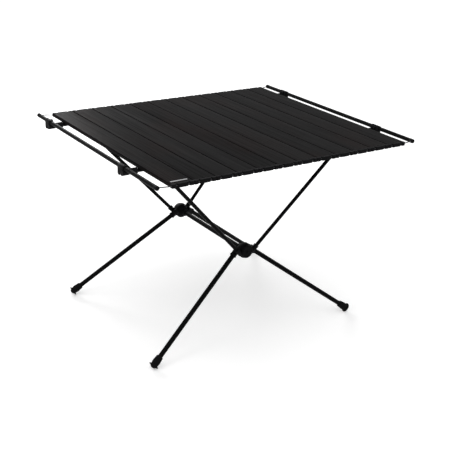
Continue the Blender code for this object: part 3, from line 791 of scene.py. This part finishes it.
class CAMPTABLE_OT_side_rails(bpy.types.Operator):
    """Make the round side rails and their four end caps"""
    bl_idname = "camp_table.side_rails"
    bl_label = "Side rails and caps"

    def execute(self, context):
        sizes = context.scene.camp_table_sizes
        colours = context.scene.camp_table_colours
        metal = pole_finish(colours.pole)
        plastic = plastic_finish(colours.plastic)
        half = RAIL_LENGTH / 2
        length = sizes.cap_length
        wide = RAIL_RADIUS + sizes.cap_proud
        profile = [(0, -length), (RAIL_RADIUS + 0.00005, -length), (wide - 0.0001, -length),
                   (wide, -length + 0.0002), (wide, -0.52 * wide)]
        for step in range(1, 9):
            angle = math.radians(90 * step / 9)
            profile.append((wide * (0.28 + 0.72 * math.cos(angle)), -0.52 * wide * (1 - math.sin(angle))))
        profile += [(0.2 * wide, 0), (0, 0)]
        cap = turned(profile, sizes.pole_sides)
        slot = rod((0, 0, -CORD_EXIT_FROM_END), (2 * wide, 0, -CORD_EXIT_FROM_END), CORD_HOLE_RADIUS, 24)
        cap = boolean(cap, [slot], "DIFFERENCE")
        upright = Matrix.Rotation(-math.pi / 2, 4, "X")
        for name, side, body in SIDES:
            middle = Vector((side * RAIL_X, RAIL_Y, MID_Z))
            run = half - length - 0.0001
            points = [middle + Vector((0, y, 0)) for y in (-run, -run + 0.001, run - 0.001, run)]
            add_piece(f"rail_tube_{name}", swept(points, RAIL_RADIUS, sizes.pole_sides), metal, body,
                      [f"side_rail_{name}"])
            for end, other_end, spin in (("rear", "front", 0), ("front", "rear", math.pi)):
                turn = facing(side) @ Matrix.Rotation(spin, 4, "X")
                shape = moved(cap, turn @ Matrix.Translation((0, half, 0)) @ upright)
                end_name = end if side < 0 else other_end
                add_piece(f"rail_cap_{end_name}_{name}", moved(shape, Matrix.Translation(middle)), plastic,
                          body, (), 30)
        return {"FINISHED"}


class CAMPTABLE_OT_rail_brackets(bpy.types.Operator):
    """Mould the four brackets that hold the rails on the arms"""
    bl_idname = "camp_table.rail_brackets"
    bl_label = "Rail brackets"

    def execute(self, context):
        plastic = plastic_finish(context.scene.camp_table_colours.plastic)
        tip_z = ARM_TIP_Z - MID_Z
        inboard = RAIL_OUTSET - BRACKET_SLAT_GAP
        channel = ARM_RADIUS + GAP
        collar = channel + BRACKET_COLLAR_WALL
        sleeve_radius = RAIL_RADIUS + GAP + SLEEVE_WALL
        near = -BRACKET_LENGTH / 2 + BRACKET_SHIFT
        far = BRACKET_LENGTH / 2 + BRACKET_SHIFT
        ease = 0.0006
        shy = 0.3 * ease
        sleeve_profile = [(0, near), (sleeve_radius - ease, near), (sleeve_radius - shy, near + shy),
                          (sleeve_radius, near + ease),
                          *groove(sleeve_radius, near + 0.0037, 0.0005, 0.0007, 0.0003),
                          (sleeve_radius, far - ease), (sleeve_radius - shy, far - shy),
                          (sleeve_radius - ease, far), (0, far)]
        sleeve = moved(turned(sleeve_profile, 36), Matrix.Rotation(-math.pi / 2, 4, "X"))
        heel = far - BRACKET_HEEL_WIDTH
        corners = [((near + BRACKET_WALL, 0), 0), ((near + BRACKET_WALL, tip_z), 0.004),
                   ((0.002, tip_z - 0.5 * collar), 0.004), ((heel - 0.001, tip_z - 0.6 * collar), 0.002),
                   ((heel + 0.001, -BRACKET_DROP), 0.0036), ((far - 0.0005, -BRACKET_DROP), 0.0044),
                   ((far, 0), 0)]
        web = prism([(0, point.x, point.y) for point in rounded(corners, 5)], (1, 0, 0), -WEB_OUT,
                    sleeve_radius, 0.0030, 5)
        saddle_profile = [(0, 0), (collar - ease, 0), (collar, ease)]
        reach = inboard + BRACKET_OUT + GAP
        for ring in (0.34, 0.50, 0.66):
            saddle_profile += groove(collar, ring * reach, 0.0005, 0.0008, 0.0005)
        saddle_profile += [(collar, reach - ease), (collar - ease, reach), (0, reach)]
        saddle = moved(turned(saddle_profile, 36), aim((-BRACKET_OUT - GAP, 0, tip_z), (1, 0, 0)))
        eye_middle = Vector((sleeve_radius, 1.4 * BRACKET_SHIFT, -0.0006))
        eye = [eye_middle + 0.0040 * Vector((math.cos(angle), 0, math.sin(angle)))
               for angle in (math.radians(-90 + 240 * step / 20) for step in range(21))]
        body = boolean(sleeve, [web, saddle, swept(eye, 0.0014, 16)], "UNION")
        tip_end = RAIL_X - ARM_TIP_X - GAP
        below = prism([(tip_end, -channel, 0), (2 * inboard, -channel, 0), (2 * inboard, channel, 0),
                       (tip_end, channel, 0)], (0, 0, 1), tip_z - 2 * collar, tip_z)
        cuts = [rod((0, -BRACKET_LENGTH, 0), (0, 2 * BRACKET_LENGTH, 0), RAIL_RADIUS + GAP, 32),
                rod((tip_end, 0, tip_z), (2 * inboard, 0, tip_z), channel, 32), below]
        body = boolean(body, cuts, "DIFFERENCE")
        for name, (side, end) in CORNERS.items():
            place = Matrix.Translation((side * RAIL_X, FRAME_Y + end * BRACKET_Y, MID_Z))
            shape = moved(body, place @ facing(side))
            add_piece(f"bracket_{name}", shape, plastic, "slat_01" if side < 0 else "slat_12",
                      [f"rail_bracket_{name}"], 30)
        return {"FINISHED"}


class CAMPTABLE_OT_arms(bpy.types.Operator):
    """Bend the four arms that carry the top"""
    bl_idname = "camp_table.arms"
    bl_label = "Arms"

    def execute(self, context):
        metal = pole_finish(context.scene.camp_table_colours.pole)
        sides = context.scene.camp_table_sizes.pole_sides
        _, _, route = arm_route()
        for name, place in frame_corners():
            tube = swept([place @ point for point in route], ARM_RADIUS, sides, POLE_WALL)
            add_piece(f"arm_pole_{name}", tube, metal, "frame", [f"arm_{name}"], 40)
        return {"FINISHED"}


class CAMPTABLE_OT_cross_bar(bpy.types.Operator):
    """Make the bar between the two hubs"""
    bl_idname = "camp_table.cross_bar"
    bl_label = "Cross bar"

    def execute(self, context):
        metal = pole_finish(context.scene.camp_table_colours.pole)
        points = [(0, y, HUB_HEIGHT) for y in (BAR[0].y, FRAME_Y, BAR[1].y)]
        bar = swept(points, BAR_RADIUS, context.scene.camp_table_sizes.pole_sides, POLE_WALL)
        add_piece("cross_bar_pole", bar, metal, "frame", ["cross_bar"], 40)
        return {"FINISHED"}


class CAMPTABLE_OT_hubs(bpy.types.Operator):
    """Mould the two hubs with their sockets, covers and rivets"""
    bl_idname = "camp_table.hubs"
    bl_label = "Hubs"

    def collar(self, place, bore, end):
        """One socket's outside, turned about the pole's line."""
        wide = bore + SOCKET_WALL
        band = wide + SOCKET_LIP_WALL
        profile = [(0, -SOCKET_ROOT), (wide, -SOCKET_ROOT),
                   *groove(wide, end - 0.0054, 0.0004, 0.0008, 0.0004), (wide, end - 0.0034),
                   (band - 0.0002, end - 0.0031), (band, end - 0.0028), (band, end - 0.0005),
                   (band - 0.0005, end), (0, end)]
        return moved(turned(profile, 32), place)

    def execute(self, context):
        plastic = plastic_finish(context.scene.camp_table_colours.plastic)
        metal = pole_finish(context.scene.camp_table_colours.pole)
        centre = Vector((0, HUB_Y, HUB_HEIGHT))
        parts = []
        cuts = []
        leg_socket, leg_way, _ = leg_line()
        arm_socket, arm_way, _ = arm_route()
        for socket, way, radius, end in ((leg_socket, leg_way, LEG_RADIUS, LEG_SOCKET_END),
                                         (arm_socket, arm_way, ARM_RADIUS, ARM_SOCKET_END)):
            bore = radius + GAP
            for side in (-1, 1):
                place = aim(socket, way)
                parts.append(moved(self.collar(place, bore, end), mirrored(side, 1)))
                hole = rod(socket + way * (SOCKET_START - GAP), socket + way * 2 * end, bore, 32)
                cuts.append(moved(hole, mirrored(side, 1)))
        wall = BAR_RADIUS + GAP + SOCKET_WALL
        mouth = centre - Vector((0, BAR_SOCKET_REACH, 0))
        cuts.append(rod(mouth - Vector((0, 0.01, 0)), mouth + Vector((0, BAR_SOCKET_DEPTH, 0)),
                        BAR_RADIUS + GAP, 32))
        rim = HUB_RADIUS
        start = -BAR_SOCKET_REACH
        seat = COVER_RADIUS + 0.0004
        drum_profile = [
            (0, start), (wall + 0.0004, start), (wall + 0.0008, start + 0.0004),
            (wall + 0.0008, start + 0.0028), (wall, start + 0.0034), (wall, -0.0165),
            (wall + 0.0009, -0.0153), (0.0125, -HUB_INNER),
            (0.0150, -0.0128), (0.0168, -0.0096), (0.0180, -0.0080), (rim - 0.0008, -0.0072),
            (rim - 0.0002, -0.0068), (rim, -0.0062), (rim, 0.0044), (rim - 0.0003, 0.0050),
            (rim - 0.0010, 0.0056), (0.0174, 0.0066), (0.0172, 0.0112), (0.0168, 0.0124), (0.0160, HUB_OUTER),
            (seat, HUB_OUTER), (seat, HUB_OUTER - 0.0016), (0, HUB_OUTER - 0.0016)]
        outward = aim(centre, (0, 1, 0))
        drum = moved(turned(drum_profile, 64), outward)
        hub = boolean(boolean(drum, parts, "UNION"), cuts, "DIFFERENCE")
        face = HUB_OUTER + 0.0007
        cover_profile = [(0, HUB_OUTER - 0.0015), (COVER_RADIUS, HUB_OUTER - 0.0015),
                         (COVER_RADIUS, face + 0.0003), (COVER_RADIUS - 0.0002, face + 0.0007),
                         (COVER_RADIUS - 0.0007, face + 0.0009),
                         (COVER_RADIUS - 0.0022, face + 0.0009), (COVER_RADIUS - 0.0027, face + 0.0006),
                         (COVER_RADIUS - 0.0030, face), (0.0062, face), (0.0058, face + 0.0003),
                         (0.0044, face + 0.0003), (0, face + 0.0003)]
        cover = moved(turned(cover_profile, 64), outward)
        rivet_profile = [(0, face + 0.00035), (0.0036, face + 0.00035), (0.0036, face + 0.0006),
                         (0.0033, face + 0.0009), (0.0026, face + 0.0013), (0.0015, face + 0.00148),
                         (0, face + 0.0015)]
        rivet = moved(turned(rivet_profile, 40), outward)
        for name, turn in (("front", Matrix.Rotation(math.pi, 4, "Z")), ("rear", Matrix.Identity(4))):
            place = Matrix.Translation((0, FRAME_Y, 0)) @ turn
            add_piece(f"hub_body_{name}", moved(hub, place), plastic, "frame",
                      [f"hub_{name}"], 30)
            add_piece(f"hub_cover_{name}", moved(cover, place), plastic, "frame", (), 30)
            add_piece(f"hub_rivet_{name}", moved(rivet, place), metal, "frame", (), 30)
        return {"FINISHED"}


class CAMPTABLE_OT_legs(bpy.types.Operator):
    """Make the four straight legs"""
    bl_idname = "camp_table.legs"
    bl_label = "Legs"

    def execute(self, context):
        metal = pole_finish(context.scene.camp_table_colours.pole)
        sides = context.scene.camp_table_sizes.pole_sides
        socket, way, length = leg_line()
        for name, place in frame_corners():
            points = [socket + way * SOCKET_START, socket + way * (length + FOOT_BOTTOM - GAP) * 0.5,
                      socket + way * (length - FOOT_BOTTOM - GAP)]
            tube = swept([place @ point for point in points], LEG_RADIUS, sides, POLE_WALL)
            add_piece(f"leg_pole_{name}", tube, metal, f"leg_{name}", [f"leg_{name}"], 40)
        return {"FINISHED"}


class CAMPTABLE_OT_feet(bpy.types.Operator):
    """Mould the four flared rubber feet"""
    bl_idname = "camp_table.feet"
    bl_label = "Feet"

    def execute(self, context):
        rubber = rubber_finish(context.scene.camp_table_colours.rubber)
        socket, way, length = leg_line()
        rim = FOOT_RIM_THICKNESS / 2
        bore = LEG_RADIUS + GAP
        mouth = bore + FOOT_WALL
        nose = []
        for step in range(9):
            angle = math.radians(90 * step / 9)
            nose.append((0.62 * FOOT_RIM_RADIUS * math.sin(angle),
                         -rim - (FOOT_NOSE - rim) * math.cos(angle)))
        profile = nose + [
            (0.64 * FOOT_RIM_RADIUS, -rim), (FOOT_RIM_RADIUS - 0.0004, -rim), (FOOT_RIM_RADIUS, -0.4 * rim),
            (FOOT_RIM_RADIUS, 0.5 * rim), (FOOT_RIM_RADIUS - 0.0004, rim), (mouth + 0.0018, 1.4 * rim),
            (mouth + 0.0009, 2.2 * rim), (mouth + 0.0006, 3.4 * rim)]
        for proud, share in ((0.0009, 0.22), (0.0016, 0.36), (0.0015, 0.50), (0.0012, 0.60), (0.0006, 0.62),
                             (0.0006, 0.66), (0.0010, 0.68), (0.0008, 0.78), (0.0003, 0.80), (0.0003, 0.84),
                             (0.0005, 0.86), (0.0001, 0.97), (-0.0004, 1.0)):
            profile.append((mouth + proud, share * FOOT_LENGTH))
        profile += [(bore, FOOT_LENGTH), (bore, FOOT_BOTTOM), (0, FOOT_BOTTOM)]
        foot = turned(profile, 48)
        placed = moved(foot, aim(socket + way * length, -way))
        for name, place in frame_corners():
            add_piece(f"foot_rubber_{name}", moved(placed, place), rubber, f"leg_{name}",
                      [f"foot_{name}"], 35)
        return {"FINISHED"}


class CAMPTABLE_OT_blank_strip(bpy.types.Operator):
    """Lay the plain strip at the front of the first slat"""
    bl_idname = "camp_table.blank_strip"
    bl_label = "Blank strip"

    def execute(self, context):
        sizes = context.scene.camp_table_sizes
        film = strip_finish(context.scene.camp_table_colours.strip)
        left = FIRST_SLAT[0].x + STRIP_INSET_X
        low = FIRST_SLAT[0].y + STRIP_INSET_Y
        right = left + sizes.strip_length
        high = low + sizes.strip_width
        corners = ((left, low), (right, low), (right, high), (left, high))
        outline = rounded([(corner, 0.0006) for corner in corners])
        shape = prism([(point.x, point.y, 0) for point in outline], (0, 0, 1), TOP_HEIGHT - 0.0002,
                      TOP_HEIGHT + 0.00012, 0.00005, 1)
        add_piece("blank_strip", shape, film, "slat_01", (), 30)
        return {"FINISHED"}


class CAMPTABLE_OT_studio(bpy.types.Operator):
    """Set the floor, the soft lamps, the white surroundings and the camera"""
    bl_idname = "camp_table.studio"
    bl_label = "Studio"

    def floor(self, colour):
        bm = bmesh.new()
        bmesh.ops.create_grid(bm, x_segments=2, y_segments=2, size=FLOOR_HALF)
        mesh = mesh_from(bm, "floor")
        material, tree, shader, place = new_finish("plain_pale_floor")
        shader.inputs["Roughness"].default_value = 0.9
        shader.inputs["Specular IOR Level"].default_value = 0.0
        speck = grain(tree, place, (40.0, 40.0, 40.0), 3.0, 0.6)
        tone = mixed(tree, spread(tree, speck, 0.3, 0.7), tint(colour, 0.995), tint(colour, 1.005))
        tree.links.new(tone, shader.inputs["Base Color"])
        glow = node(tree, "ShaderNodeEmission", values={"Color": (1, 1, 1, 1), "Strength": FLOOR_GLOW})
        added = node(tree, "ShaderNodeAddShader")
        choose = node(tree, "ShaderNodeMixShader")
        tree.links.new(shader.outputs[0], added.inputs[0])
        tree.links.new(glow.outputs[0], added.inputs[1])
        tree.links.new(seen_rays(tree), choose.inputs[0])
        tree.links.new(shader.outputs[0], choose.inputs[1])
        tree.links.new(added.outputs[0], choose.inputs[2])
        tree.links.new(choose.outputs[0], tree.nodes["Material Output"].inputs["Surface"])
        mesh.materials.append(material)
        floor = bpy.data.objects.new("floor", mesh)
        bpy.context.scene.collection.objects.link(floor)

    def surroundings(self, scene):
        world = bpy.data.worlds.new("white_surroundings")
        world.use_nodes = True
        scene.world = world
        tree = world.node_tree
        background = tree.nodes["Background"]
        background.inputs["Color"].default_value = (1, 1, 1, 1)
        strength = spread(tree, seen_rays(tree), 0.0, 1.0, WORLD_LIGHT, 1.0)
        tree.links.new(strength, background.inputs["Strength"])

    def lamp(self, name, place, aimed, power, size=0.0, angle=0.0):
        """A square soft lamp of a size, or a soft sun where only an angle is given."""
        light = bpy.data.lights.new(name, "AREA" if size else "SUN")
        light.energy = power
        if size:
            light.size = size
        else:
            light.angle = math.radians(angle)
        lamp = bpy.data.objects.new(name, light)
        lamp.visible_camera = False
        bpy.context.scene.collection.objects.link(lamp)
        away = Vector(place) - Vector(aimed)
        lamp.matrix_world = Matrix.Translation(place) @ away.to_track_quat("Z", "Y").to_matrix().to_4x4()

    def camera(self, scene):
        data = bpy.data.cameras.new("studio_camera")
        data.sensor_width = 36.0
        data.lens = CAMERA_LENS
        data.clip_end = 200.0
        camera = bpy.data.objects.new("studio_camera", data)
        scene.collection.objects.link(camera)
        yaw, pitch, roll = (math.radians(angle) for angle in CAMERA_TURN)
        away = Vector((-math.sin(yaw) * math.cos(pitch), -math.cos(yaw) * math.cos(pitch), math.sin(pitch)))
        facing_table = away.to_track_quat("Z", "Y").to_matrix().to_4x4()
        camera.matrix_world = (Matrix.Translation(CAMERA_PLACE) @ facing_table
                               @ Matrix.Rotation(roll, 4, "Z"))
        scene.camera = camera

    def execute(self, context):
        scene = context.scene
        self.floor(scene.camp_table_colours.floor)
        self.surroundings(scene)
        self.lamp("soft_sun", (-0.5, -0.5, 2.4), (0, 0, 0), 1.1, angle=70)
        self.lamp("back_lamp", (0.35, 2.75, 1.35), (-0.2, 0.2, 0.5), 30.0, size=0.8)
        self.lamp("left_lamp", (-2.2, -0.4, 1.5), (0, 0, 0.3), 5.0, size=0.6)
        self.camera(scene)
        scene.view_settings.view_transform = "Standard"
        return {"FINISHED"}


PIECES = (CAMPTABLE_OT_slats, CAMPTABLE_OT_end_plugs, CAMPTABLE_OT_elastic_cords, CAMPTABLE_OT_side_rails,
          CAMPTABLE_OT_rail_brackets, CAMPTABLE_OT_arms, CAMPTABLE_OT_cross_bar, CAMPTABLE_OT_hubs,
          CAMPTABLE_OT_legs, CAMPTABLE_OT_feet, CAMPTABLE_OT_blank_strip, CAMPTABLE_OT_studio)


class CAMPTABLE_PT_pieces(bpy.types.Panel):
    """Lists the table's pieces, sizes and colours"""
    bl_idname = "CAMPTABLE_PT_pieces"
    bl_label = "Camp Table"
    bl_space_type = "VIEW_3D"
    bl_region_type = "UI"
    bl_category = "Camp Table"

    def draw(self, context):
        layout = self.layout
        for piece in PIECES:
            layout.operator(piece.bl_idname)
        for group in (context.scene.camp_table_sizes, context.scene.camp_table_colours):
            box = layout.box()
            for name in group.__annotations__:
                box.prop(group, name)


CLASSES = (CampTableSizes, CampTableColours, *PIECES, CAMPTABLE_PT_pieces)


def register():
    for item in CLASSES:
        bpy.utils.register_class(item)
    bpy.types.Scene.camp_table_sizes = PointerProperty(type=CampTableSizes)
    bpy.types.Scene.camp_table_colours = PointerProperty(type=CampTableColours)


def unregister():
    del bpy.types.Scene.camp_table_colours
    del bpy.types.Scene.camp_table_sizes
    for item in reversed(CLASSES):
        bpy.utils.unregister_class(item)


def main():
    register()
    bpy.ops.camp_table.slats()
    bpy.ops.camp_table.end_plugs()
    bpy.ops.camp_table.elastic_cords()
    bpy.ops.camp_table.side_rails()
    bpy.ops.camp_table.rail_brackets()
    bpy.ops.camp_table.arms()
    bpy.ops.camp_table.cross_bar()
    bpy.ops.camp_table.hubs()
    bpy.ops.camp_table.legs()
    bpy.ops.camp_table.feet()
    bpy.ops.camp_table.blank_strip()
    bpy.ops.camp_table.studio()


if __name__ == "__main__":
    main()
